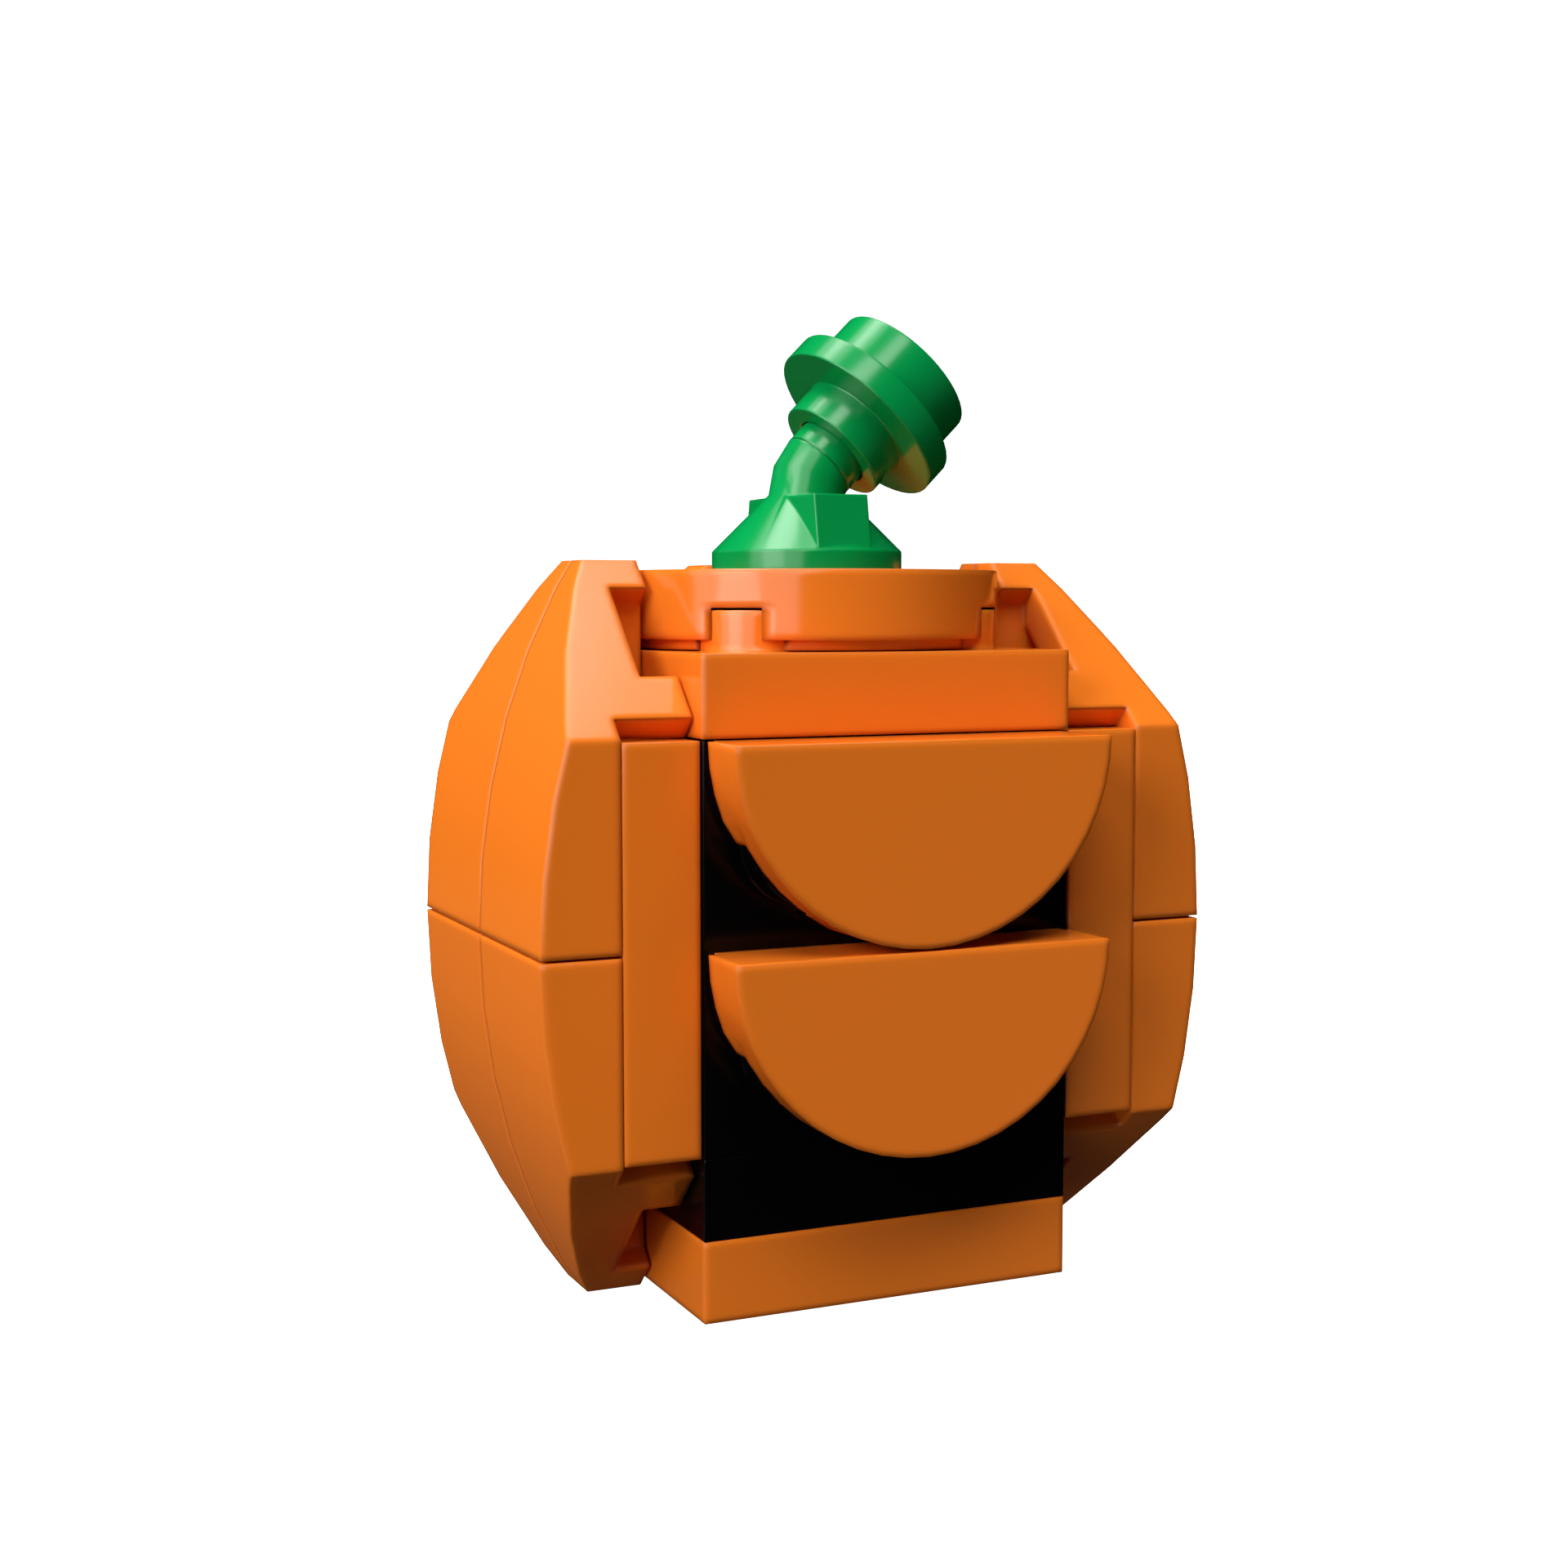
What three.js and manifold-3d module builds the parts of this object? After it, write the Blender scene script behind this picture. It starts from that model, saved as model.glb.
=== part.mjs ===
// A palm-sized pumpkin lantern put together from interlocking plastic bricks: a square core of
// plates and a brick, two half-round tiles as its grin, curved shells on three of its sides, a
// round cap and a bent two-piece stem.
//
// The model is drawn with its core standing on z = 0, the grin looking along -Y, and is then
// lowered and centred so that it stands on the lowest shell tips. Millimetres, +Z up.

import * as THREE from "three";
import { mergeVertices } from "three/addons/utils/BufferGeometryUtils.js";
import Module from "manifold-3d";

const wasm = await Module();
wasm.setup();

// ---- the brick system: everything below follows from these ----
const PITCH = 8; // from stud to stud
const PLATE = 3.2; // thickness of a plate or a tile
const STUD_R = 2.4;
const STUD_H = 1.6;
const BAR_R = 1.6; // a bar, and also the usual wall of a moulded part
const GROOVE = 0.4; // step round the foot of a tile or a round plate
const SEAM = 0.05; // what a part falls short of its place on each side
const STUD_PLAY = 0.05; // room round a stud in its socket
const ROUND = 48; // sides of a large circle
const SMALL_ROUND = 32; // sides of a stud or a bar
const OVER = 1; // how far a shape runs past what it cuts or into what it joins

// ---- the stack, from the ground up ----
const HALF = PITCH - SEAM; // half the width of a two-stud part
const TOP_ROOM = 2 * STUD_PLAY; // room over a stud in its socket
const BLACK_Z = PLATE; // foot of the black plate
const BRICK_Z = 2 * PLATE;
const BRICK_H = 5 * PLATE;
const TOP_Z = BRICK_Z + BRICK_H; // foot of the top plate
const CAP_Z = TOP_Z + PLATE; // foot of the round cap
const STEM_Z = CAP_Z + PLATE; // foot of the stem
const MID_Z = BRICK_Z + BRICK_H / 2; // seam between upper and lower shells

// ---- the shells ----
const SHELL_OUT = PITCH + 2 * PLATE - SEAM; // outermost reach, at the level seam
const BULGE_DEEP = 2 * PITCH; // half axes of the ellipse that the outside follows
const BULGE_TALL = 7 * PLATE;
const BULGE_FACETS = 6; // flats in its outline, past the tip
const TIP_WIDTH = 1.22; // flat left at the end of the 45 degree cut
const SHELL_REACH = 2 * PITCH - TIP_WIDTH; // from the seam to the tip
const SEAM_WALL = 1.65; // wall along the upright seam
const SHELL_WALL = BAR_R;
const LIP = 0.8; // height of the open gap under the lower lip

// ---- the underside of the lowest plate ----
const PLATE_WALL = 1.5;
const PLATE_ROOF = 1.2;
const TUBE_R = (Math.SQRT2 * PITCH) / 2 - STUD_R;

// ---- the grin ----
const FACET = 360 / ROUND; // degrees between corners of the rim, one of which is level
const NOTCH_FROM = 3 * FACET; // below the flat edge, where the rim starts to fall away
const NOTCH_EDGE = 4 * FACET; // and where the stud notch opens
const NOTCH_SINK = 0.12; // how far the rim has fallen in by then

// ---- the cap and the stem ----
const CAP_NOTCH = 1.06; // half width of the notch over each stud
const CAP_SKIRT = GROOVE + SEAM;
const FOOT_R = 3.97;
const FOOT_H = 0.8;
const HANDLE_HALF = 1.2; // half the thickness of the cross handle
const HANDLE_TOP = 3.07; // its top above the foot
const HANDLE_REACH = 3.3; // half its length there
const HANDLE_DRAFT = 8; // degrees by which its ends lean out
const BEND = Math.PI / 4;
const BEND_STEPS = 2;
const BEND_R = 1.7;
const BEND_Z = STEM_Z + 3.16; // where the neck starts to bend
const BITE = 0.02; // how far its straight lengths run into the bend
const SPOUT_Z = BEND_Z + BEND_R * Math.tan(BEND / 2); // where the spout's line meets the axis
const COLLAR_AT = 1.6; // along the spout, from there
const FLANGE_H = 1.2;
const SKIRT_R = 3.18;
const SKIRT_H = 2;
const SPOUT_END = 4.2; // inside the flange

// ---------------------------------------------------------------- solids

const SAME_POINT = 1e-4; // corners closer than this are one

// A closed geometry as a solid that can be joined and cut.
function solid(geometry) {
  const bare = geometry.clone();
  bare.deleteAttribute("normal");
  bare.deleteAttribute("uv");
  const merged = mergeVertices(bare, SAME_POINT);
  return new wasm.Manifold(
    new wasm.Mesh({
      numProp: 3,
      vertProperties: merged.getAttribute("position").array,
      triVerts: new Uint32Array(merged.index.array),
    }),
  );
}

// A solid back as a geometry.
function geometryOf(body) {
  const { vertProperties, triVerts } = body.getMesh();
  const geometry = new THREE.BufferGeometry();
  geometry.setAttribute("position", new THREE.BufferAttribute(vertProperties, 3));
  geometry.setIndex(new THREE.BufferAttribute(triVerts, 1));
  geometry.computeVertexNormals();
  return geometry;
}

function block([x0, y0, z0], [x1, y1, z1]) {
  const geometry = new THREE.BoxGeometry(x1 - x0, y1 - y0, z1 - z0);
  return geometry.translate((x0 + x1) / 2, (y0 + y1) / 2, (z0 + z1) / 2);
}

// An upright cylinder on the Z axis.
function post(radius, from, to, sides = SMALL_ROUND) {
  const geometry = new THREE.CylinderGeometry(radius, radius, to - from, sides);
  return geometry.rotateX(Math.PI / 2).translate(0, 0, (from + to) / 2);
}

// A cylinder along +Y through (x, z).
function pin(radius, x, z, from, to, sides = SMALL_ROUND) {
  return post(radius, from, to, sides).rotateX(-Math.PI / 2).translate(x, 0, z);
}

// An outline in (y, z), drawn out along X.
function prismX(outline, from, to) {
  const turn = new THREE.Matrix4().makeBasis(
    new THREE.Vector3(0, 1, 0),
    new THREE.Vector3(0, 0, 1),
    new THREE.Vector3(1, 0, 0),
  );
  return extrude(outline, to - from).applyMatrix4(turn).translate(from, 0, 0);
}

// An outline in (x, z), drawn out along Y.
function prismY(outline, from, to) {
  return extrude(outline, to - from).rotateX(Math.PI / 2).translate(0, to, 0);
}

function extrude(outline, depth) {
  const points = outline.map(([a, b]) => new THREE.Vector2(a, b));
  return new THREE.ExtrudeGeometry(new THREE.Shape(points), { depth, bevelEnabled: false });
}

// Points on an arc about a centre, both ends included.
function arc([cx, cz], radius, from, to, steps) {
  return Array.from({ length: steps + 1 }, (_, i) => {
    const angle = from + ((to - from) * i) / steps;
    return [cx + radius * Math.cos(angle), cz + radius * Math.sin(angle)];
  });
}

function join(...geometries) {
  return geometries.map(solid).reduce((a, b) => a.add(b));
}

function cut(body, ...geometries) {
  return geometries.map(solid).reduce((a, b) => a.subtract(b), body);
}

// The four corners of the two by two stud grid.
const CORNERS = [
  [-1, -1],
  [1, -1],
  [1, 1],
  [-1, 1],
];

// ---------------------------------------------------------------- the core

// The lowest plate: a shallow tray seen from below, with one tube between its four sockets.
function basePlate() {
  const roof = PLATE - PLATE_ROOF;
  const inside = HALF - PLATE_WALL;
  const shell = cut(
    join(block([-HALF, -HALF, 0], [HALF, HALF, PLATE])),
    block([-inside, -inside, -OVER], [inside, inside, roof]),
  );
  const tube = cut(join(post(TUBE_R, 0, roof + OVER)), post(STUD_R, -OVER, roof));
  return shell.add(tube);
}

function blackPlate() {
  return join(block([-HALF, -HALF, BLACK_Z], [HALF, HALF, BRICK_Z]));
}

// The tall black brick, with four studs on its face that hold the two tiles.
function coreBrick() {
  const studs = CORNERS.map(([sx, sz]) => {
    const z = MID_Z + (sz * PITCH) / 2;
    return pin(STUD_R, (sx * PITCH) / 2, z, -HALF - STUD_H, OVER - HALF);
  });
  return join(block([-HALF, -HALF, BRICK_Z], [HALF, HALF, TOP_Z - SEAM]), ...studs);
}

function topPlate() {
  const studs = CORNERS.map(([sx, sy]) => {
    const stud = post(STUD_R, CAP_Z - OVER, CAP_Z + STUD_H);
    return stud.translate((sx * PITCH) / 2, (sy * PITCH) / 2, 0);
  });
  return join(block([-HALF, -HALF, TOP_Z], [HALF, HALF, CAP_Z]), ...studs);
}

// A plate on edge against the core's +X side.
function sidePlate() {
  const low = [PITCH + SEAM, -HALF, BRICK_Z + SEAM];
  return join(block(low, [PITCH + PLATE - SEAM, HALF, TOP_Z - SEAM]));
}

// The round cap: a disc on a narrower ring, open over the four studs that it sits on.
function capPlate() {
  const skirt = CAP_Z + CAP_SKIRT;
  const body = join(
    post(HALF, skirt, STEM_Z, ROUND),
    post(HALF - GROOVE, CAP_Z + SEAM, skirt + OVER, ROUND),
  );
  const roof = CAP_Z + STUD_H + TOP_ROOM;
  const reach = PITCH / Math.SQRT2;
  return CORNERS.reduce((part, [sx, sy]) => {
    const socket = post(STUD_R + STUD_PLAY, CAP_Z - OVER, roof);
    const notch = block([reach, -CAP_NOTCH, CAP_Z - OVER], [2 * HALF, CAP_NOTCH, roof]);
    return cut(
      part,
      socket.translate((sx * PITCH) / 2, (sy * PITCH) / 2, 0),
      notch.rotateZ(Math.atan2(sy, sx)),
    );
  }, body);
}

// ---------------------------------------------------------------- the grin

// A half-round tile lying against the brick's face, flat edge up at z = 0. Where its rim runs
// over a stud, the back half of the rim falls away and then opens into a notch.
function halfTile() {
  const back = -PITCH;
  const face = back - GROOVE;
  const floor = back - STUD_H - TOP_ROOM;
  const disc = join(
    pin(HALF, 0, 0, back - PLATE, face, ROUND),
    pin(HALF - GROOVE, 0, 0, face - OVER, back, ROUND),
  );
  const half = cut(disc, block([-PITCH, -2 * PITCH, -SEAM], [PITCH, 0, PITCH]));
  const rim = (degrees, radius) => {
    const angle = THREE.MathUtils.degToRad(degrees);
    return [radius * Math.cos(angle), -radius * Math.sin(angle)];
  };
  const notch = [
    rim(NOTCH_FROM, HALF),
    rim(NOTCH_EDGE, HALF - NOTCH_SINK),
    rim(NOTCH_EDGE, HALF - BAR_R),
    rim(90 - NOTCH_EDGE, HALF - BAR_R),
    rim(90 - NOTCH_EDGE, HALF - NOTCH_SINK),
    rim(90 - NOTCH_FROM, HALF),
    rim(90 - NOTCH_FROM, 2 * HALF),
    rim(NOTCH_FROM, 2 * HALF),
  ];
  return [-1, 1].reduce((part, side) => {
    const outline = notch.map(([x, z]) => [side * x, z]);
    return cut(
      part,
      pin(STUD_R + STUD_PLAY, (side * PITCH) / 2, -PITCH / 2, floor, back + OVER),
      prismY(outline, floor, back + OVER),
    );
  }, half);
}

// ---------------------------------------------------------------- the shells

// A shell's upright section in (x, z): its outside, on an ellipse and moved in by some inset,
// and then the given points of its inside. z is up from the level seam.
function section(inset, inside) {
  const outside = Array.from({ length: BULGE_FACETS + 1 }, (_, i) => {
    const angle = THREE.MathUtils.degToRad(FACET * i);
    return [
      SHELL_OUT - BULGE_DEEP + (BULGE_DEEP - inset) * Math.cos(angle),
      SEAM + (BULGE_TALL - inset) * Math.sin(angle),
    ];
  });
  return [...outside, ...inside];
}

// One shell of four, on the +X side: y runs from the upright seam, z up from the level one.
// It is cut at 45 degrees where y + z = 2 PITCH, and its thick end hooks over the core.
function shell() {
  const grip = PITCH + PLATE;
  const lip = PITCH + SEAM;
  const upright = section(0, [
    [lip, 2 * PITCH],
    [lip, PITCH],
    [grip, PITCH],
    [grip, SEAM],
  ]);
  const face = [
    [SEAM, SEAM],
    [HALF, SEAM],
    [HALF, 2 * PITCH - HALF],
    [TIP_WIDTH, SHELL_REACH],
    [SEAM, SHELL_REACH],
  ];
  const body = solid(prismY(upright, 0, PITCH)).intersect(solid(prismX(face, 0, 2 * PITCH)));
  return cut(body, studNotch(), lowGap()).subtract(pocket());
}

// A point given along the 45 degree cut, from the stud centre on it, and inwards from the cut.
function onCut(along, inwards) {
  const y = PITCH / 2 - (along + inwards) / Math.SQRT2;
  const z = (3 * PITCH) / 2 + (along - inwards) / Math.SQRT2;
  return [y, z];
}

// The notch through the cut's wall that leaves room for a neighbour's stud.
function studNotch() {
  const outline = [
    onCut(STUD_R, -OVER),
    onCut(STUD_R, PITCH),
    onCut(-STUD_R, PITCH),
    onCut(-STUD_R, -OVER),
  ];
  const walled = solid(prismX(outline, 0, PITCH + SHELL_WALL));
  const room = block([0, SEAM_WALL, PITCH], [SHELL_OUT, 2 * PITCH, 2 * PITCH]);
  return geometryOf(walled.intersect(solid(room)));
}

// The gap under the lower lip, open towards the core.
function lowGap() {
  const outline = [
    [PITCH - 2 * LIP, PITCH],
    [PITCH + LIP, PITCH],
    [PITCH + LIP, PITCH + LIP],
    [PITCH - LIP, PITCH + LIP],
  ];
  return prismX(outline, 0, PITCH + PLATE);
}

// The hollow behind the walls of the thick end.
function pocket() {
  const width = PITCH - Math.SQRT2 * SHELL_WALL;
  const outline = [
    [SEAM_WALL, PITCH],
    [width, PITCH],
    [SEAM_WALL, PITCH + width - SEAM_WALL],
  ];
  const depth = section(SHELL_WALL, [
    [0, 2 * PITCH],
    [0, SEAM],
  ]);
  return solid(prismX(outline, 0, SHELL_OUT)).intersect(solid(prismY(depth, 0, PITCH)));
}

// ---------------------------------------------------------------- the stem

// The middle line of the bend, in the XZ plane: from straight up to leaning along +X.
class Bend extends THREE.Curve {
  getPoint(t, target = new THREE.Vector3()) {
    const angle = BEND * t;
    const x = BEND_R * (1 - Math.cos(angle));
    return target.set(x, 0, BEND_Z + BEND_R * Math.sin(angle));
  }
}

function elbow() {
  const ring = arc([0, 0], BAR_R, 0, 2 * Math.PI, SMALL_ROUND).slice(0, -1);
  const points = ring.map(([a, b]) => new THREE.Vector2(a, b));
  return new THREE.ExtrudeGeometry(new THREE.Shape(points), {
    steps: BEND_STEPS,
    extrudePath: new Bend(),
  });
}

// The lower half of the stem: a tap with a round foot, a cross handle and a bent spout.
function stemTap() {
  const shoulder = STEM_Z + FOOT_H;
  const profile = [
    [0, STEM_Z],
    [FOOT_R, STEM_Z],
    [FOOT_R, shoulder],
    [BAR_R, shoulder + FOOT_R - BAR_R],
    [BAR_R, BEND_Z + BITE],
    [0, BEND_Z + BITE],
  ].map(([r, z]) => new THREE.Vector2(r, z));
  const foot = new THREE.LatheGeometry(profile, ROUND).rotateX(Math.PI / 2);
  const top = STEM_Z + HANDLE_TOP;
  const root = STEM_Z + FOOT_H / 2;
  const lean = (top - root) * Math.tan(THREE.MathUtils.degToRad(HANDLE_DRAFT));
  const handle = prismX(
    [
      [-HANDLE_REACH - lean, root],
      [HANDLE_REACH + lean, root],
      [HANDLE_REACH, top],
      [-HANDLE_REACH, top],
    ],
    -HANDLE_HALF,
    HANDLE_HALF,
  );
  const bendEnd = BEND_R * Math.tan(BEND / 2);
  const spout = post(BAR_R, bendEnd - BITE, SPOUT_END).rotateY(BEND).translate(0, 0, SPOUT_Z);
  return join(foot, handle, elbow(), spout);
}

// The upper half: a small round plate pushed stud first onto the spout, open end out.
function stemPlate() {
  const flange = COLLAR_AT + STUD_H;
  const skirt = flange + FLANGE_H;
  const end = skirt + SKIRT_H;
  const bore = BAR_R + STUD_PLAY;
  const profile = [
    [bore, COLLAR_AT],
    [STUD_R, COLLAR_AT],
    [STUD_R, flange],
    [FOOT_R, flange],
    [FOOT_R, skirt],
    [SKIRT_R, skirt],
    [SKIRT_R, end],
    [STUD_R, end],
    [STUD_R, skirt],
    [bore, skirt],
    [bore, COLLAR_AT],
  ].map(([r, along]) => new THREE.Vector2(r, along));
  return solid(new THREE.LatheGeometry(profile, ROUND).rotateX(Math.PI / 2));
}

// ---------------------------------------------------------------- the model

const model = new THREE.Group();

function add(name, color, body, parent = model) {
  const material = new THREE.MeshStandardMaterial({ color, roughness: 0.25, metalness: 0 });
  const mesh = new THREE.Mesh(geometryOf(body), material);
  mesh.name = name;
  parent.add(mesh);
  return mesh;
}

const ORANGE = 0xff851f;
const BLACK = 0x0b0b0c;
const GREEN = 0x0ca552;

add("base_plate", ORANGE, basePlate());
add("black_plate", BLACK, blackPlate());
add("core_brick", BLACK, coreBrick());
add("top_plate", ORANGE, topPlate());
add("cap_plate", ORANGE, capPlate());

const tile = halfTile();
add("upper_tile", ORANGE, tile).position.z = TOP_Z;
add("lower_tile", ORANGE, tile).position.z = TOP_Z - PITCH;

// Each dressed side has its plate and its four shells, mirrored about the two seams. The sign
// says which way the side's own +Y looks once the side is turned into place.
const SIDES = [
  { side: "right", turn: 0, ends: { front: -1, back: 1 } },
  { side: "back", turn: Math.PI / 2, ends: { right: -1, left: 1 } },
  { side: "left", turn: Math.PI, ends: { front: 1, back: -1 } },
];
const LEVELS = { upper: 1, lower: -1 };
const quarter = shell();
for (const { side, turn, ends } of SIDES) {
  const group = new THREE.Group();
  group.rotation.z = turn;
  model.add(group);
  add(`${side}_plate`, ORANGE, sidePlate(), group);
  for (const [end, alongY] of Object.entries(ends)) {
    for (const [level, alongZ] of Object.entries(LEVELS)) {
      const mesh = add(`${side}_shell_${end}_${level}`, ORANGE, quarter, group);
      mesh.position.z = MID_Z;
      mesh.scale.set(1, alongY, alongZ);
    }
  }
}

add("stem_tap", GREEN, stemTap());
const crown = add("stem_plate", GREEN, stemPlate());
crown.position.z = SPOUT_Z;
crown.rotation.y = BEND;

// The back shells stand out further than the grin, so the middle of the whole lies behind the
// core's, and the lowest shell tips lie below the core.
model.position.set(0, (PITCH + PLATE - SHELL_OUT) / 2, SHELL_REACH - MID_Z);

export default model;
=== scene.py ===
"""A palm-sized toy pumpkin lantern, put together from snap-together plastic pieces.

Every piece is modelled in millimetres on the foot of the core, which stands on z = 0 with the
grin looking along -Y, and is then set down in metres where the frame has it.
"""
from math import cos, pi, radians, sin, sqrt, tan

import bmesh
import bpy
from mathutils import Matrix, Vector


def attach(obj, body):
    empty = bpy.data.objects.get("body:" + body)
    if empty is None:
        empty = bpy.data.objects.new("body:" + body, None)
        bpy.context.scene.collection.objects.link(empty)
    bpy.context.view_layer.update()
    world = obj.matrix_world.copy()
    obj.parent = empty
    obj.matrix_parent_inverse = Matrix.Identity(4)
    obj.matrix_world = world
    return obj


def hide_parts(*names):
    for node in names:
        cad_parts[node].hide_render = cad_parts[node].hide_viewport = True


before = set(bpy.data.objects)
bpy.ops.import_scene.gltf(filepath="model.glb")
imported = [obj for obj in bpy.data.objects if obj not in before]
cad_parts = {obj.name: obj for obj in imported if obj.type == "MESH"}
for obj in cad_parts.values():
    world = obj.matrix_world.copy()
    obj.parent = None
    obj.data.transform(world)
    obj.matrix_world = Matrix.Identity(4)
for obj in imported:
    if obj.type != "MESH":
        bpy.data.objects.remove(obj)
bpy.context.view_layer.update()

# ---- the brick system, in millimetres ----
PITCH = 8.0  # from stud to stud
PLATE = 3.2  # thickness of a plate or a tile
STUD_R = 2.4
STUD_H = 1.6
BAR_R = 1.6
GROOVE = 0.4  # step round the foot of a tile or a round plate
SEAM = 0.05  # what a part falls short of its place on each side
PLAY = 0.05  # room round a stud in its socket
HALF = PITCH - SEAM  # half the width of a piece two studs wide
ROUND = 48  # sides of a large circle
SMALL_ROUND = 32
OVER = 1.0  # how far a cutting shape runs past what it cuts

TRAY_WALL = 1.5  # what is left round and above the hollow of the lowest plate
TRAY_ROOF = 1.2

# ---- the stack, from the ground up ----
BLACK_Z = PLATE
BRICK_Z = 2 * PLATE
TOP_Z = 7 * PLATE
CAP_Z = TOP_Z + PLATE
STEM_Z = CAP_Z + PLATE
MID_Z = (BRICK_Z + TOP_Z) / 2
SOCKET_H = STUD_H + 2 * PLAY
NOTCH_HALF = 1.06  # half the width of the notches in the cap's rim
SUNK = 0.12  # how far a tile's rim falls away beside its notches
SUNK_FROM, SUNK_TO = 22.5, 67.5  # degrees round the rim, down from the flat edge
NOTCH_FROM, NOTCH_TO = 30, 60

# ---- the shells ----
GRIP = PITCH + PLATE  # where a shell's thick end meets its plate
SHELL_OUT = PITCH + 2 * PLATE - SEAM
BULGE_DEEP = 2 * PITCH  # half axes of the ellipse that the outside follows
BULGE_TALL = 7 * PLATE
TIP_WIDTH = 1.22  # left standing at a shell's end by its 45 degree cut
SHELL_REACH = 2 * PITCH - TIP_WIDTH
SEAM_WALL = 1.65  # wall along the upright seam
SHELL_WALL = BAR_R
LIP = 0.8  # half the gap between a shell's hook and its neighbour's

# ---- the stem ----
FOOT_R = 3.97
FOOT_H = 0.8
NECK_H = 3.16  # from the cap to where the spout starts to bend
BEND_R = 1.7
BEND_Z = STEM_Z + NECK_H
BEND = pi / 4
BEND_STEPS = 2
SPOUT_Z = BEND_Z + BEND_R * tan(BEND / 2)  # where the axes of neck and spout cross
HANDLE_HALF = 1.2  # half its thickness at its ends
HANDLE_REACH = 3.3
HANDLE_H = 3.07
HANDLE_LEAN = radians(9.8)
WAIST_HALF = 1.42  # the handle is broader where it meets the neck
WAIST_REACH = 0.8
HAIR_WIDE = 0.05
HAIR_DEEP = 0.06
COLLAR_AT = 1.6  # along the spout, from where the axes cross
FLANGE_H = 1.2
SKIRT_R = 3.18
SKIRT_H = 2.0
SPOUT_END = 4.2  # also along the spout

# ---- moulding ----
EDGE = 0.04  # true radius of an outer edge
EDGE_STEPS = 2
ROUNDED_FROM = radians(25)  # flatter edges than this are left alone
SMOOTH_UPTO = radians(40)
WELD = 0.09  # corners closer than this are one
SOFT_EDGE = 0.42  # how far in from an edge its shading turns
CRISP_EDGE = 0.15
SLIVER = 0.001  # edges shorter than this are closed up

MM = 0.001
CORNERS = [(-1, -1), (1, -1), (1, 1), (-1, 1)]  # a quarter turn apart
FIRST_CORNER = -135  # degrees
# From the foot of the core to the frame: the back shells and the lowest tips stand out further.
SET_DOWN = Vector((0, (GRIP - SHELL_OUT) / 2, SHELL_REACH - MID_Z))


# ---------------------------------------------------------------- hand tools


def hold(piece):
    """Makes a piece the only one selected, and the active one."""
    bpy.ops.object.select_all(action="DESELECT")
    piece.select_set(True)
    bpy.context.view_layer.objects.active = piece
    return piece


def fix(piece):
    """Works a piece's place, turn and size into its mesh."""
    hold(piece)
    bpy.ops.object.transform_apply(location=True, rotation=True, scale=True)
    return piece


def block(low, high):
    """A box between two corners."""
    bpy.ops.object.select_all(action="DESELECT")
    middle = [(a + b) / 2 for a, b in zip(low, high)]
    size = [b - a for a, b in zip(low, high)]
    bpy.ops.mesh.primitive_cube_add(size=1, location=middle)
    bpy.context.object.scale = size
    return fix(bpy.context.object)


TURNS = {"X": (0, pi / 2, 0), "Y": (-pi / 2, 0, 0), "Z": (0, 0, 0)}


def drum(radius, low, high, at=(0, 0), along="Z", sides=SMALL_ROUND):
    """A cylinder along an axis, at a place given in the two other axes."""
    bpy.ops.object.select_all(action="DESELECT")
    place = list(at)
    place.insert("XYZ".index(along), (low + high) / 2)
    bpy.ops.mesh.primitive_cylinder_add(
        vertices=sides, radius=radius, depth=high - low, location=place, rotation=TURNS[along]
    )
    return fix(bpy.context.object)


def prism(outline, low, high, along="X"):
    """An outline in the two other axes, drawn out along one axis."""
    bpy.ops.object.select_all(action="DESELECT")
    bpy.ops.mesh.primitive_circle_add(vertices=len(outline), radius=1, fill_type="NGON")
    piece = bpy.context.object
    axis = "XYZ".index(along)
    for corner, (a, b) in zip(piece.data.vertices, outline):
        place = [a, b]
        place.insert(axis, low)
        corner.co = place
    hold(piece)
    bpy.ops.object.mode_set(mode="EDIT")
    bpy.ops.mesh.select_all(action="SELECT")
    step = [0, 0, 0]
    step[axis] = high - low
    bpy.ops.mesh.extrude_region_move(TRANSFORM_OT_translate={"value": step})
    bpy.ops.mesh.select_all(action="SELECT")
    bpy.ops.mesh.normals_make_consistent(inside=False)
    bpy.ops.object.mode_set(mode="OBJECT")
    return piece


def shape(piece, tool, how):
    """Joins a tool to a piece, cuts it out of it, or keeps what the two share."""
    hold(piece)
    step = piece.modifiers.new("shape", "BOOLEAN")
    step.operation = how
    step.solver = "EXACT"
    step.object = tool
    bpy.ops.object.modifier_apply(modifier=step.name)
    bpy.data.objects.remove(tool)
    return piece


def join(piece, *tools):
    for tool in tools:
        shape(piece, tool, "UNION")
    return piece


def cut(piece, *tools):
    for tool in tools:
        shape(piece, tool, "DIFFERENCE")
    return piece


def slice_off(piece, point, outward):
    """Cuts a piece along a plane, drops what lies outward of it and closes the cut."""
    hold(piece)
    bpy.ops.object.mode_set(mode="EDIT")
    bpy.ops.mesh.select_all(action="SELECT")
    bpy.ops.mesh.bisect(plane_co=point, plane_no=outward, use_fill=True, clear_outer=True)
    bpy.ops.object.mode_set(mode="OBJECT")
    return piece


def turn(piece, angle, axis="Z"):
    piece.rotation_euler["XYZ".index(axis)] = angle
    return fix(piece)


def pick_end(piece, toward):
    """Goes into edit mode with the flat face that lies furthest one way selected."""
    hold(piece)
    bpy.ops.object.mode_set(mode="EDIT")
    bpy.ops.mesh.select_all(action="DESELECT")
    bpy.ops.mesh.select_mode(type="FACE")
    mesh = bmesh.from_edit_mesh(piece.data)
    far = max(mesh.faces, key=lambda face: face.calc_center_median().dot(Vector(toward)))
    far.select_set(True)
    bmesh.update_edit_mesh(piece.data)


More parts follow.
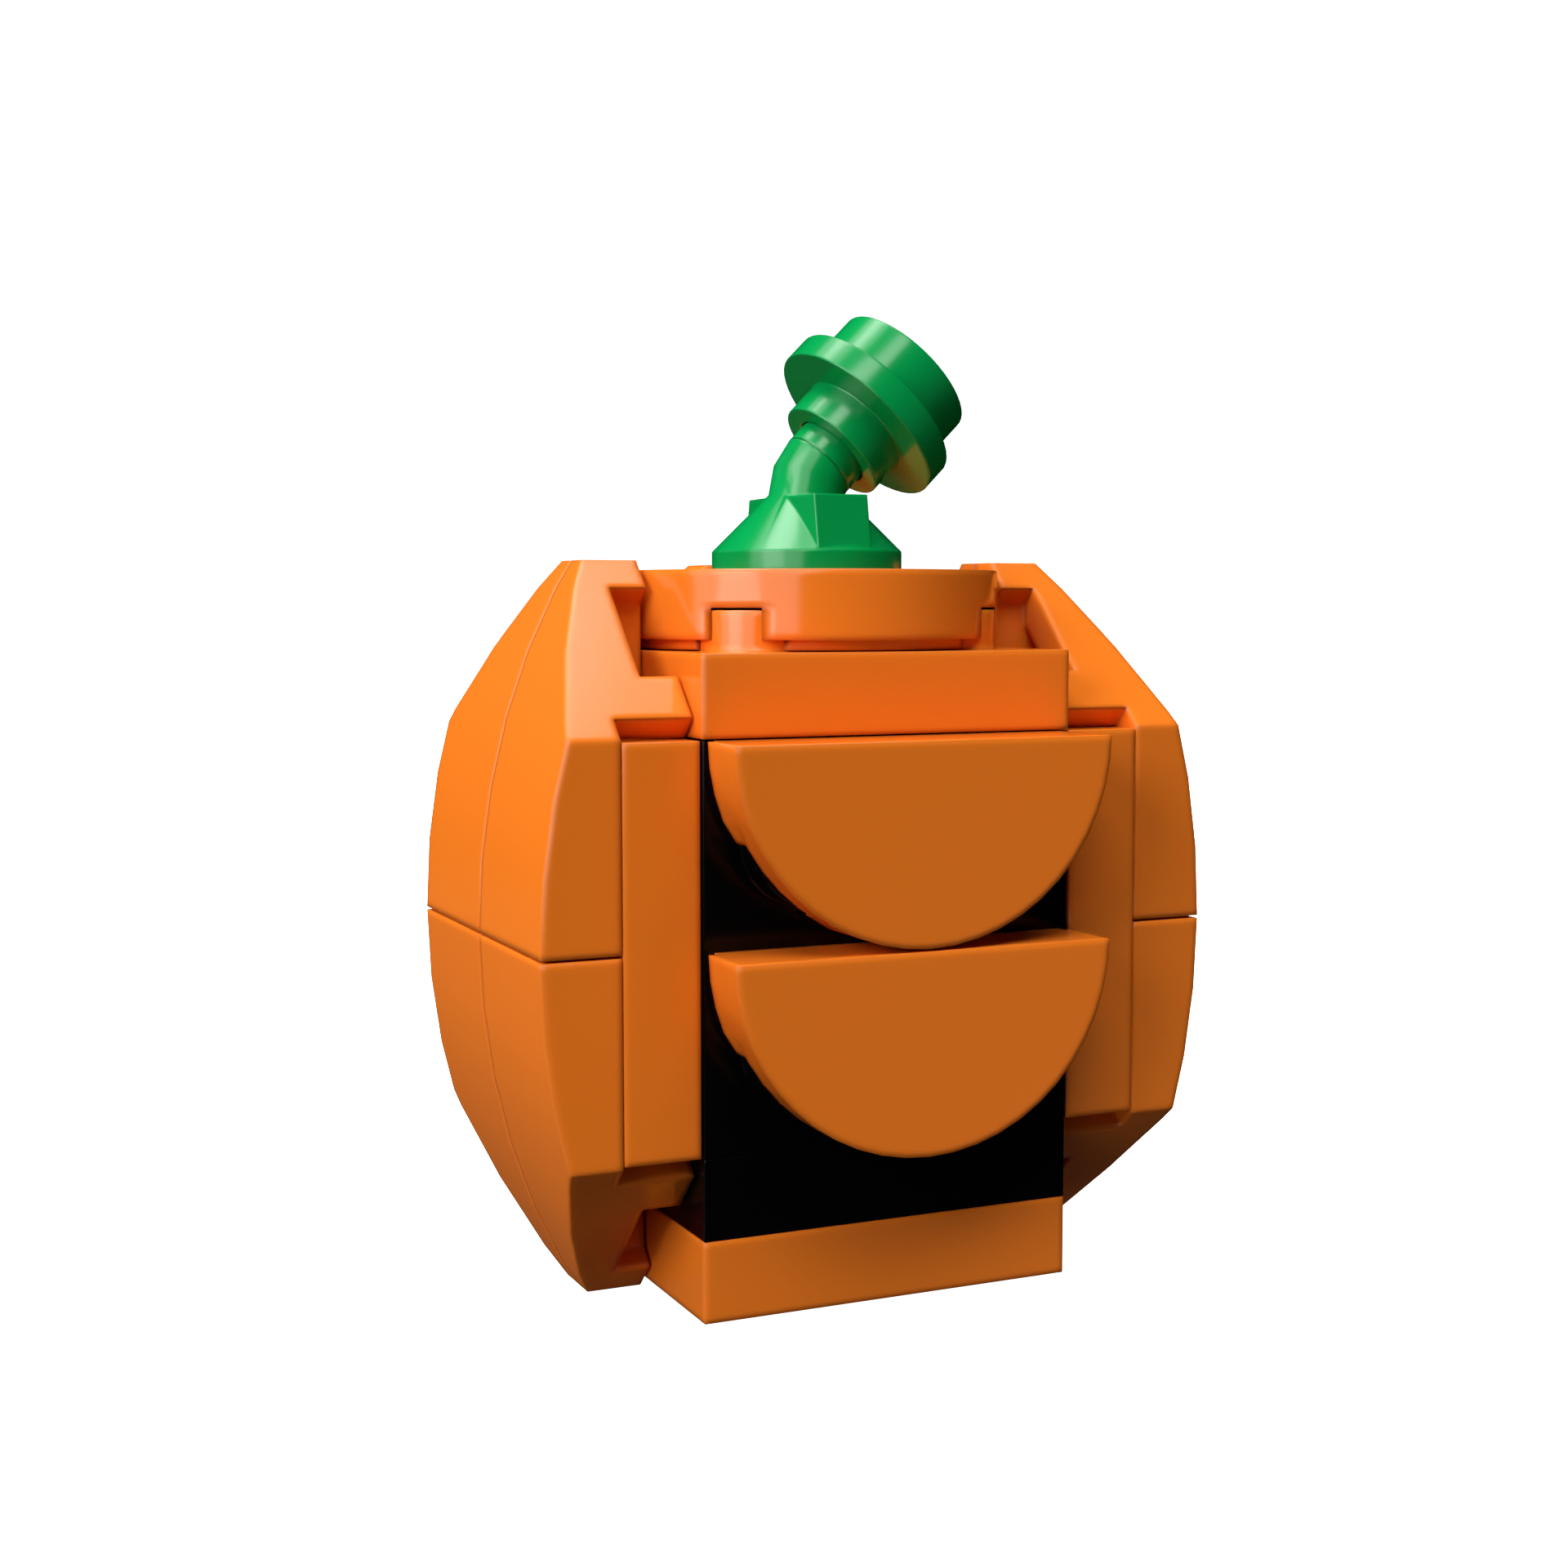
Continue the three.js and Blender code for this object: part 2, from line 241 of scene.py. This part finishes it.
def draw_out(step=(0, 0, 0)):
    bpy.ops.mesh.extrude_region_move(TRANSFORM_OT_translate={"value": step})


def widen(factor, about):
    """Scales what is selected about a point on the Z axis, level with it."""
    bpy.ops.transform.resize(value=(factor, factor, 1), center_override=about)


def done():
    bpy.ops.object.mode_set(mode="OBJECT")


def round_edges(piece):
    """Rounds the outer edges a little, once corners that all but touch are made one."""
    hold(piece)
    bpy.ops.object.mode_set(mode="EDIT")
    bpy.ops.mesh.select_mode(type="EDGE")
    bpy.ops.mesh.select_all(action="SELECT")
    bpy.ops.mesh.remove_doubles(threshold=WELD)
    bpy.ops.mesh.select_all(action="DESELECT")
    mesh = bmesh.from_edit_mesh(piece.data)
    for edge in mesh.edges:
        sharp = edge.is_manifold and edge.calc_face_angle() > ROUNDED_FROM
        edge.select_set(sharp and edge.is_convex)
    bmesh.update_edit_mesh(piece.data)
    bpy.ops.mesh.bevel(offset=EDGE, segments=EDGE_STEPS, affect="EDGES", clamp_overlap=False)
    bpy.ops.object.mode_set(mode="OBJECT")
    return piece


# ---------------------------------------------------------------- the core


def base_plate():
    """A shallow tray seen from below, with one tube between its four sockets."""
    roof = PLATE - TRAY_ROOF
    plate = block((-HALF, -HALF, 0), (HALF, HALF, PLATE))
    pick_end(plate, (0, 0, -1))
    bpy.ops.mesh.inset(thickness=TRAY_WALL)
    draw_out((0, 0, roof))
    done()
    tube_r = PITCH / sqrt(2) - STUD_R
    tube = drum(tube_r, 0, roof + OVER)
    return round_edges(cut(join(plate, tube), drum(STUD_R, -OVER, roof)))


def black_plate():
    return round_edges(block((-HALF, -HALF, BLACK_Z), (HALF, HALF, BRICK_Z)))


def core_brick():
    """The tall brick, with four studs on its face that hold the two tiles."""
    brick = block((-HALF, -HALF, BRICK_Z), (HALF, HALF, TOP_Z - SEAM))
    face = -HALF
    for x, z in CORNERS:
        at = (x * PITCH / 2, MID_Z + z * PITCH / 2)
        join(brick, drum(STUD_R, face - STUD_H, face + OVER, at, "Y"))
    return round_edges(brick)


def top_plate():
    plate = block((-HALF, -HALF, TOP_Z), (HALF, HALF, CAP_Z))
    for x, y in CORNERS:
        at = (x * PITCH / 2, y * PITCH / 2)
        join(plate, drum(STUD_R, CAP_Z - OVER, CAP_Z + STUD_H, at))
    return round_edges(plate)


def side_plate():
    low = (PITCH + SEAM, -HALF, BRICK_Z + SEAM)
    return round_edges(block(low, (GRIP - SEAM, HALF, TOP_Z - SEAM)))


def cap_plate():
    """The round cap: a disc on a narrower ring, open over the four studs that it sits on."""
    skirt = CAP_Z + GROOVE + SEAM
    roof = CAP_Z + SOCKET_H
    cap = drum(HALF, skirt, STEM_Z, sides=ROUND)
    pick_end(cap, (0, 0, -1))
    bpy.ops.mesh.inset(thickness=GROOVE)
    draw_out((0, 0, -GROOVE))
    done()
    round_edges(cap)
    for i, (x, y) in enumerate(CORNERS):
        at = (x * PITCH / 2, y * PITCH / 2)
        low = (PITCH / sqrt(2), -NOTCH_HALF, CAP_Z - OVER)
        way_out = radians(90 * i + FIRST_CORNER)
        notch = turn(block(low, (2 * HALF, NOTCH_HALF, roof)), way_out)
        cut(cap, drum(STUD_R + PLAY, CAP_Z - OVER, roof, at), notch)
    return cap


# ---------------------------------------------------------------- the grin


def rim_point(side, degrees, radius):
    return side * radius * cos(radians(degrees)), -radius * sin(radians(degrees))


def half_tile():
    """A half-round tile against the brick's face, its flat edge up at z = 0. Where the rim runs
    over a stud, it falls away and then opens into a notch."""
    face = -PITCH - GROOVE
    floor = -PITCH - SOCKET_H
    tile = drum(HALF, -PITCH - PLATE, face, along="Y", sides=ROUND)
    pick_end(tile, (0, 1, 0))
    bpy.ops.mesh.inset(thickness=GROOVE)
    draw_out((0, GROOVE, 0))
    done()
    slice_off(tile, (0, 0, -SEAM), (0, 0, 1))
    round_edges(tile)
    for side in (-1, 1):
        socket = drum(STUD_R + PLAY, floor, OVER - PITCH, (side * PITCH / 2, -PITCH / 2), "Y")
        outline = [
            rim_point(side, degrees, radius)
            for degrees, radius in (
                (SUNK_FROM, HALF),
                (NOTCH_FROM, HALF - SUNK),
                (NOTCH_FROM, HALF - BAR_R),
                (NOTCH_TO, HALF - BAR_R),
                (NOTCH_TO, HALF - SUNK),
                (SUNK_TO, HALF),
                (SUNK_TO, 2 * HALF),
                (SUNK_FROM, 2 * HALF),
            )
        ]
        cut(tile, socket, prism(outline, floor, OVER - PITCH, "Y"))
    return tile


# ---------------------------------------------------------------- the shells


def bulge(inset):
    """A lying drum with the outside's oval section, smaller by some inset."""
    oval = drum(1, 0, PITCH, along="Y", sides=ROUND)
    oval.scale = (BULGE_DEEP - inset, 1, BULGE_TALL - inset)
    oval.location = (SHELL_OUT - BULGE_DEEP, 0, SEAM)
    return fix(oval)


def on_cut(along, inwards):
    """A point given along the 45 degree cut from the stud centre on it, and inwards from it."""
    y = PITCH / 2 - (along + inwards) / sqrt(2)
    z = 3 * PITCH / 2 + (along - inwards) / sqrt(2)
    return y, z


def shell():
    """One shell of four, on the +X side: y runs from the upright seam, z up from the level one.
    It is cut at 45 degrees where y + z = 2 PITCH, and its thick end hooks over the core."""
    body = bulge(0)
    slice_off(body, (0, 0, SEAM), (0, 0, -1))
    slice_off(body, (0, SEAM, 0), (0, -1, 0))
    slice_off(body, (0, HALF, 0), (0, 1, 0))
    slice_off(body, (PITCH + SEAM, 0, 0), (-1, 0, 0))
    slice_off(body, (0, PITCH, PITCH), (0, 1, 1))
    slice_off(body, (0, 0, SHELL_REACH), (0, 0, 1))
    round_edges(body)
    cut(body, block((0, -OVER, -OVER), (GRIP, PITCH + OVER, PITCH)))

    slot = prism(
        [
            on_cut(STUD_R, -OVER),
            on_cut(STUD_R, PITCH),
            on_cut(-STUD_R, PITCH),
            on_cut(-STUD_R, -OVER),
        ],
        0,
        PITCH + SHELL_WALL,
    )
    shape(slot, block((-OVER, SEAM_WALL, PITCH), (SHELL_OUT, 2 * PITCH, 2 * PITCH)), "INTERSECT")
    gap = prism(
        [
            (PITCH - 2 * LIP, PITCH),
            (PITCH + LIP, PITCH),
            (PITCH + LIP, PITCH + LIP),
            (PITCH - LIP, PITCH + LIP),
        ],
        0,
        GRIP,
    )
    width = PITCH - sqrt(2) * SHELL_WALL
    pocket = prism(
        [(SEAM_WALL, PITCH), (width, PITCH), (SEAM_WALL, PITCH + width - SEAM_WALL)],
        0,
        SHELL_OUT,
    )
    shape(pocket, bulge(SHELL_WALL), "INTERSECT")
    return cut(body, join(slot, gap, pocket))


# ---------------------------------------------------------------- the stem


def along_spout(length):
    draw_out((length * sin(BEND), 0, length * cos(BEND)))


def hairline():
    """What is cut away for the fine line round the foot of the straight spout."""
    foot = BEND_R * tan(BEND / 2)
    ring = drum(BAR_R + OVER, foot, foot + HAIR_WIDE, sides=ROUND)
    cut(ring, drum(BAR_R - HAIR_DEEP, foot - OVER, foot + OVER, sides=ROUND))
    ring.location.z = SPOUT_Z
    return turn(ring, BEND, "Y")


def handle():
    """The cross handle: a bar along Y whose ends lean inwards, rising out of the foot."""
    root = STEM_Z + FOOT_H / 2
    top = STEM_Z + HANDLE_H
    long = HANDLE_REACH + (top - root) * tan(HANDLE_LEAN)
    side = [
        (HANDLE_HALF, long),
        (WAIST_HALF, WAIST_REACH),
        (WAIST_HALF, -WAIST_REACH),
        (HANDLE_HALF, -long),
    ]
    bar = prism(side + [(-x, -y) for x, y in side], root, top, "Z")
    pick_end(bar, (0, 0, 1))
    shorten = (1, HANDLE_REACH / long, 1)
    bpy.ops.transform.resize(value=shorten, center_override=(0, 0, top))
    done()
    return round_edges(bar)


def stem_tap():
    """The lower half of the stem: a tap with a round foot, a cross handle and a bent spout."""
    shoulder = STEM_Z + FOOT_H
    tap = drum(FOOT_R, STEM_Z, shoulder, sides=ROUND)
    pick_end(tap, (0, 0, 1))
    draw_out((0, 0, BEND_Z - shoulder))
    widen(BAR_R / FOOT_R, (0, 0, BEND_Z))
    for _ in range(BEND_STEPS):
        draw_out()
        bpy.ops.transform.rotate(
            value=-BEND / BEND_STEPS, orient_axis="Y", center_override=(BEND_R, 0, BEND_Z)
        )
    along_spout(SPOUT_END - BEND_R * tan(BEND / 2))
    done()
    return cut(join(round_edges(tap), handle()), hairline())


def stem_plate():
    """The upper half: a small round plate pushed stud first onto the spout, open end out."""
    flange = COLLAR_AT + STUD_H
    skirt = flange + FLANGE_H
    end = skirt + SKIRT_H
    plate = drum(STUD_R, COLLAR_AT, flange, sides=ROUND)
    pick_end(plate, (0, 0, 1))
    draw_out()
    widen(FOOT_R / STUD_R, (0, 0, flange))
    draw_out((0, 0, FLANGE_H))
    draw_out()
    widen(SKIRT_R / FOOT_R, (0, 0, skirt))
    draw_out((0, 0, SKIRT_H))
    draw_out()
    widen(STUD_R / SKIRT_R, (0, 0, end))
    draw_out((0, 0, -SKIRT_H))
    done()
    cut(plate, drum(BAR_R + PLAY, COLLAR_AT - OVER, skirt + OVER, sides=ROUND))
    plate.location.z = SPOUT_Z
    return round_edges(turn(plate, BEND, "Y"))


# ---------------------------------------------------------------- finishing


def copy_of(piece):
    twin = piece.copy()
    twin.data = piece.data.copy()
    bpy.context.collection.objects.link(twin)
    return twin


def smooth(piece):
    """Turns all faces outwards and shades each curved skin as one, with its flat faces flat."""
    hold(piece)
    bpy.ops.object.mode_set(mode="EDIT")
    bpy.ops.mesh.select_all(action="SELECT")
    bpy.ops.mesh.dissolve_degenerate(threshold=SLIVER)
    bpy.ops.mesh.normals_make_consistent(inside=False)
    bpy.ops.object.mode_set(mode="OBJECT")
    bpy.ops.object.shade_smooth_by_angle(angle=SMOOTH_UPTO)
    level = piece.modifiers.new("level", "WEIGHTED_NORMAL")
    level.keep_sharp = True
    bpy.ops.object.modifier_apply(modifier=level.name)


def settle(piece, node, finish):
    """Sets a finished piece down in metres where the frame has its node."""
    smooth(piece)
    piece.scale = (MM, MM, MM)
    piece.location = SET_DOWN * MM
    fix(piece)
    piece.name = f"{node}_moulding"
    piece.data.materials.clear()
    piece.data.materials.append(finish)
    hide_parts(node)
    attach(piece, "root")


# ---------------------------------------------------------------- finishes

PLASTIC_IOR = 1.5
FULL_SHINE = 0.5
BRIGHT, SATIN = 0.12, 0.17  # roughness of an untouched skin
RUBBED = 0.05  # roughness that handling adds at most
RIPPLE_H = 0.01
RIPPLE_STRENGTH = 0.25
EDGE_RAYS = 8
GLOW = 1.2  # whiter than white, so that paper and studio show as plain white
COLOUR_A, COLOUR_B, COLOUR_OUT = 6, 7, 2  # a Mix node's sockets for colours


class Value:
    """A shader socket that can be added to and multiplied."""

    def __init__(self, finish, socket):
        self.finish = finish
        self.socket = socket

    def math(self, operation, *values):
        return self.finish.node("ShaderNodeMath", {"operation": operation}, dict(enumerate(values)))

    def __add__(self, other):
        return self.math("ADD", self, other)

    def __mul__(self, other):
        return self.math("MULTIPLY", self, other)

    __radd__ = __add__
    __rmul__ = __mul__


class Finish:
    """A material and its nodes."""

    def __init__(self, name):
        self.material = bpy.data.materials.new(name)
        self.material.use_nodes = True
        self.tree = self.material.node_tree
        self.shader = self.tree.nodes["Principled BSDF"]

    def feed(self, socket, value):
        if isinstance(value, Value):
            self.tree.links.new(value.socket, socket)
        else:
            socket.default_value = value

    def node(self, kind, settings=None, inputs=None, out=0):
        """Adds a node: its settings are made first, and then its sockets are fed."""
        made = self.tree.nodes.new(kind)
        for key, value in (settings or {}).items():
            setattr(made, key, value)
        for key, value in (inputs or {}).items():
            self.feed(made.inputs[key], value)
        return Value(self, made.outputs[out])

    def noise(self, place, size, detail=2.0, rough=0.5):
        """Soft patches of some size in millimetres, from 0 to 1."""
        scale = 1 / (size * MM)
        return self.node(
            "ShaderNodeTexNoise",
            inputs={"Vector": place, "Scale": scale, "Detail": detail, "Roughness": rough},
        )

    def between(self, factor, one, other):
        """A colour between two."""
        return self.node(
            "ShaderNodeMix",
            {"data_type": "RGBA"},
            {"Factor": factor, COLOUR_A: (*one, 1), COLOUR_B: (*other, 1)},
            out=COLOUR_OUT,
        )

    def surface(self, **values):
        for key, value in values.items():
            self.feed(self.shader.inputs[key.replace("_", " ")], value)


def moulded_plastic(name, thin, thick, soft_edge, dull=BRIGHT, shine=FULL_SHINE):
    """Hard shiny plastic: faint cloudy flow of the melt in its colour, a gloss that handling has
    dulled in fine patches, a skin that ripples slightly, and edges that turn over softly."""
    finish = Finish(name)
    place = finish.node("ShaderNodeTexCoord", out="Object")
    flow = finish.noise(place, size=6.0, detail=3.0)
    rub = finish.noise(place, size=0.9, detail=4.0, rough=0.6)
    ripple = finish.noise(place, size=2.2, detail=1.0)
    edge = finish.node("ShaderNodeBevel", {"samples": EDGE_RAYS}, {"Radius": soft_edge * MM})
    skin = finish.node(
        "ShaderNodeBump",
        inputs={
            "Strength": RIPPLE_STRENGTH,
            "Distance": RIPPLE_H * MM,
            "Height": ripple,
            "Normal": edge,
        },
    )
    finish.surface(
        Base_Color=finish.between(flow, thin, thick),
        Roughness=dull + RUBBED * rub,
        IOR=PLASTIC_IOR,
        Specular_IOR_Level=shine,
        Normal=skin,
    )
    return finish.material


def floor_paper():
    """Pale matt paper under the model, with a glow that drowns the shadows on it."""
    finish = Finish("pale_paper")
    place = finish.node("ShaderNodeTexCoord", out="Object")
    fibre = finish.noise(place, size=0.4, detail=3.0)
    finish.surface(
        Base_Color=finish.between(fibre, (0.9, 0.9, 0.9), (0.86, 0.86, 0.86)),
        Roughness=0.8,
        Emission_Color=(1, 1, 1, 1),
        Emission_Strength=GLOW,
    )
    return finish.material


# ---------------------------------------------------------------- the model

ORANGE = moulded_plastic("orange_plastic", (0.76, 0.174, 0.0133), (0.74, 0.169, 0.013), SOFT_EDGE)
BLACK = moulded_plastic(
    "black_plastic", (0.0014, 0.0014, 0.0014), (0.0012, 0.0012, 0.0012), CRISP_EDGE, shine=0.2
)
GREEN = moulded_plastic(
    "green_plastic", (0.0008, 0.244, 0.053), (0.0008, 0.236, 0.051), CRISP_EDGE, dull=SATIN
)

settle(base_plate(), "base_plate", ORANGE)
settle(black_plate(), "black_plate", BLACK)
settle(core_brick(), "core_brick", BLACK)
settle(top_plate(), "top_plate", ORANGE)
settle(cap_plate(), "cap_plate", ORANGE)
settle(stem_tap(), "stem_tap", GREEN)
settle(stem_plate(), "stem_plate", GREEN)

tile = half_tile()
for node, height in (("upper_tile", TOP_Z), ("lower_tile", TOP_Z - PITCH)):
    piece = copy_of(tile)
    piece.location.z = height
    settle(fix(piece), node, ORANGE)
bpy.data.objects.remove(tile)

# The dressed sides. The sign says which way a side's own +Y looks once it is turned into place.
SIDES = [
    ("right", 0, {"front": -1, "back": 1}),
    ("back", pi / 2, {"right": -1, "left": 1}),
    ("left", pi, {"front": 1, "back": -1}),
]
quarter = shell()
flank = side_plate()
for side, angle, ends in SIDES:
    settle(turn(copy_of(flank), angle), f"{side}_plate", ORANGE)
    for end, along in ends.items():
        for level, up in (("upper", 1), ("lower", -1)):
            piece = copy_of(quarter)
            piece.scale = (1, along, up)
            piece.location.z = MID_Z
            settle(turn(piece, angle), f"{side}_shell_{end}_{level}", ORANGE)
bpy.data.objects.remove(quarter)
bpy.data.objects.remove(flank)

# ---------------------------------------------------------------- floor, light and camera

FLOOR_WIDE = 3.0  # metres, as are the next two
BOX_AWAY = 0.6  # from the model to each softbox
BOX_AIM = Vector((0, 0, 0.02))
BOX_POWER = 4.0  # watts for each square metre of a softbox at brightness 1
SUN_WIDE = radians(30)
WHITE_SUN = pi  # the energy at which a sun straight above shows white as white

bpy.ops.object.select_all(action="DESELECT")
bpy.ops.mesh.primitive_plane_add(size=FLOOR_WIDE, location=(0, 0, 0))
floor = bpy.context.object
floor.name = "floor"
floor.data.materials.append(floor_paper())
floor.visible_diffuse = False
floor.visible_glossy = False
floor.visible_shadow = False

# The studio is white where it is looked at, and the lamps alone light the model.
studio = bpy.data.worlds.new("studio")
bpy.context.scene.world = studio
studio.use_nodes = True
backdrop = studio.node_tree.nodes["Background"].inputs
backdrop["Color"].default_value = (1, 1, 1, 1)
backdrop["Strength"].default_value = GLOW
studio.cycles_visibility.diffuse = False
studio.cycles_visibility.glossy = False


def toward(azimuth, elevation):
    """The direction to a lamp: azimuth 0 stands before the grin, 90 at the model's right."""
    a, e = radians(azimuth), radians(elevation)
    return Vector((sin(a) * cos(e), -cos(a) * cos(e), sin(e)))


def wash(name, azimuth, elevation, strength):
    """Soft light that colours the plastic, and leaves the gloss on it to the softboxes."""
    light = bpy.data.lights.new(name, "SUN")
    light.energy = strength * WHITE_SUN
    light.angle = SUN_WIDE
    rig = bpy.data.objects.new(name, light)
    bpy.context.collection.objects.link(rig)
    rig.visible_glossy = False
    rig.rotation_euler = toward(azimuth, elevation).to_track_quat("Z", "Y").to_euler()


def softbox(name, azimuth, elevation, roll, wide, tall, brightness):
    """A lit panel that shows in the gloss alone. Its width and height are given as angles."""
    light = bpy.data.lights.new(name, "AREA")
    light.shape = "RECTANGLE"
    light.size = 2 * BOX_AWAY * tan(radians(wide / 2))
    light.size_y = 2 * BOX_AWAY * tan(radians(tall / 2))
    light.energy = BOX_POWER * light.size * light.size_y * brightness
    rig = bpy.data.objects.new(name, light)
    bpy.context.collection.objects.link(rig)
    rig.visible_diffuse = False
    away = toward(azimuth, elevation)
    level = Vector((0, 0, 1)).cross(away).normalized()
    facing = Matrix((level, away.cross(level), away)).transposed()
    facing = facing @ Matrix.Rotation(radians(roll), 3, "Z")
    rig.rotation_euler = facing.to_euler()
    rig.location = BOX_AIM + away * BOX_AWAY


wash("back_left_wash", -147, 20, 0.67)
wash("back_top_wash", -130, 65, 0.66)
wash("back_right_wash", 138, 22, 0.45)
wash("key_wash", -68, 27, 0.66)
wash("low_wash", -70, -4, 0.10)
wash("front_wash", -33, 58, 0.56)
wash("right_wash", 14, 68, 0.34)
wash("fill_wash", 48, 22, 0.03)
wash("under_right_wash", 40, -18, 0.06)
wash("under_left_wash", -55, -26, 0.06)

softbox("left_box", -62, 28, 0, 72, 64, 1.9)
softbox("left_core_box", -70, 22, 15, 28, 52, 2.2)
softbox("front_box", -25, 53, 0, 20, 14, 3.0)
softbox("top_box", -145, 73, 0, 28, 18, 4.0)
softbox("back_box", 180, 78, 0, 56, 36, 1.7)
softbox("right_box", 83, 80, -5, 8, 17, 2.0)
softbox("under_box", -94, -30, 0, 80, 30, 0.17)
softbox("under_back_box", -160, -18, 0, 50, 26, 0.022)
softbox("floor_box", 100, -80, 0, 110, 110, 0.016)

VIEW_FROM = Vector((-38.374, -84.531, 27.925))  # millimetres, as are the last three
YAW, DIP, ROLL = 24.229, 4.810, 0.034  # degrees
FOCAL = 49.84
FILM_WIDE = 36
NEAREST = 10

lens = bpy.data.cameras.new("camera")
lens.lens = FOCAL
lens.sensor_width = FILM_WIDE
lens.clip_start = NEAREST * MM
camera = bpy.data.objects.new("camera", lens)
bpy.context.collection.objects.link(camera)
camera.location = VIEW_FROM * MM
camera.rotation_euler = (radians(90 - DIP), radians(ROLL), radians(-YAW))
bpy.context.scene.camera = camera
bpy.context.scene.view_settings.view_transform = "Standard"
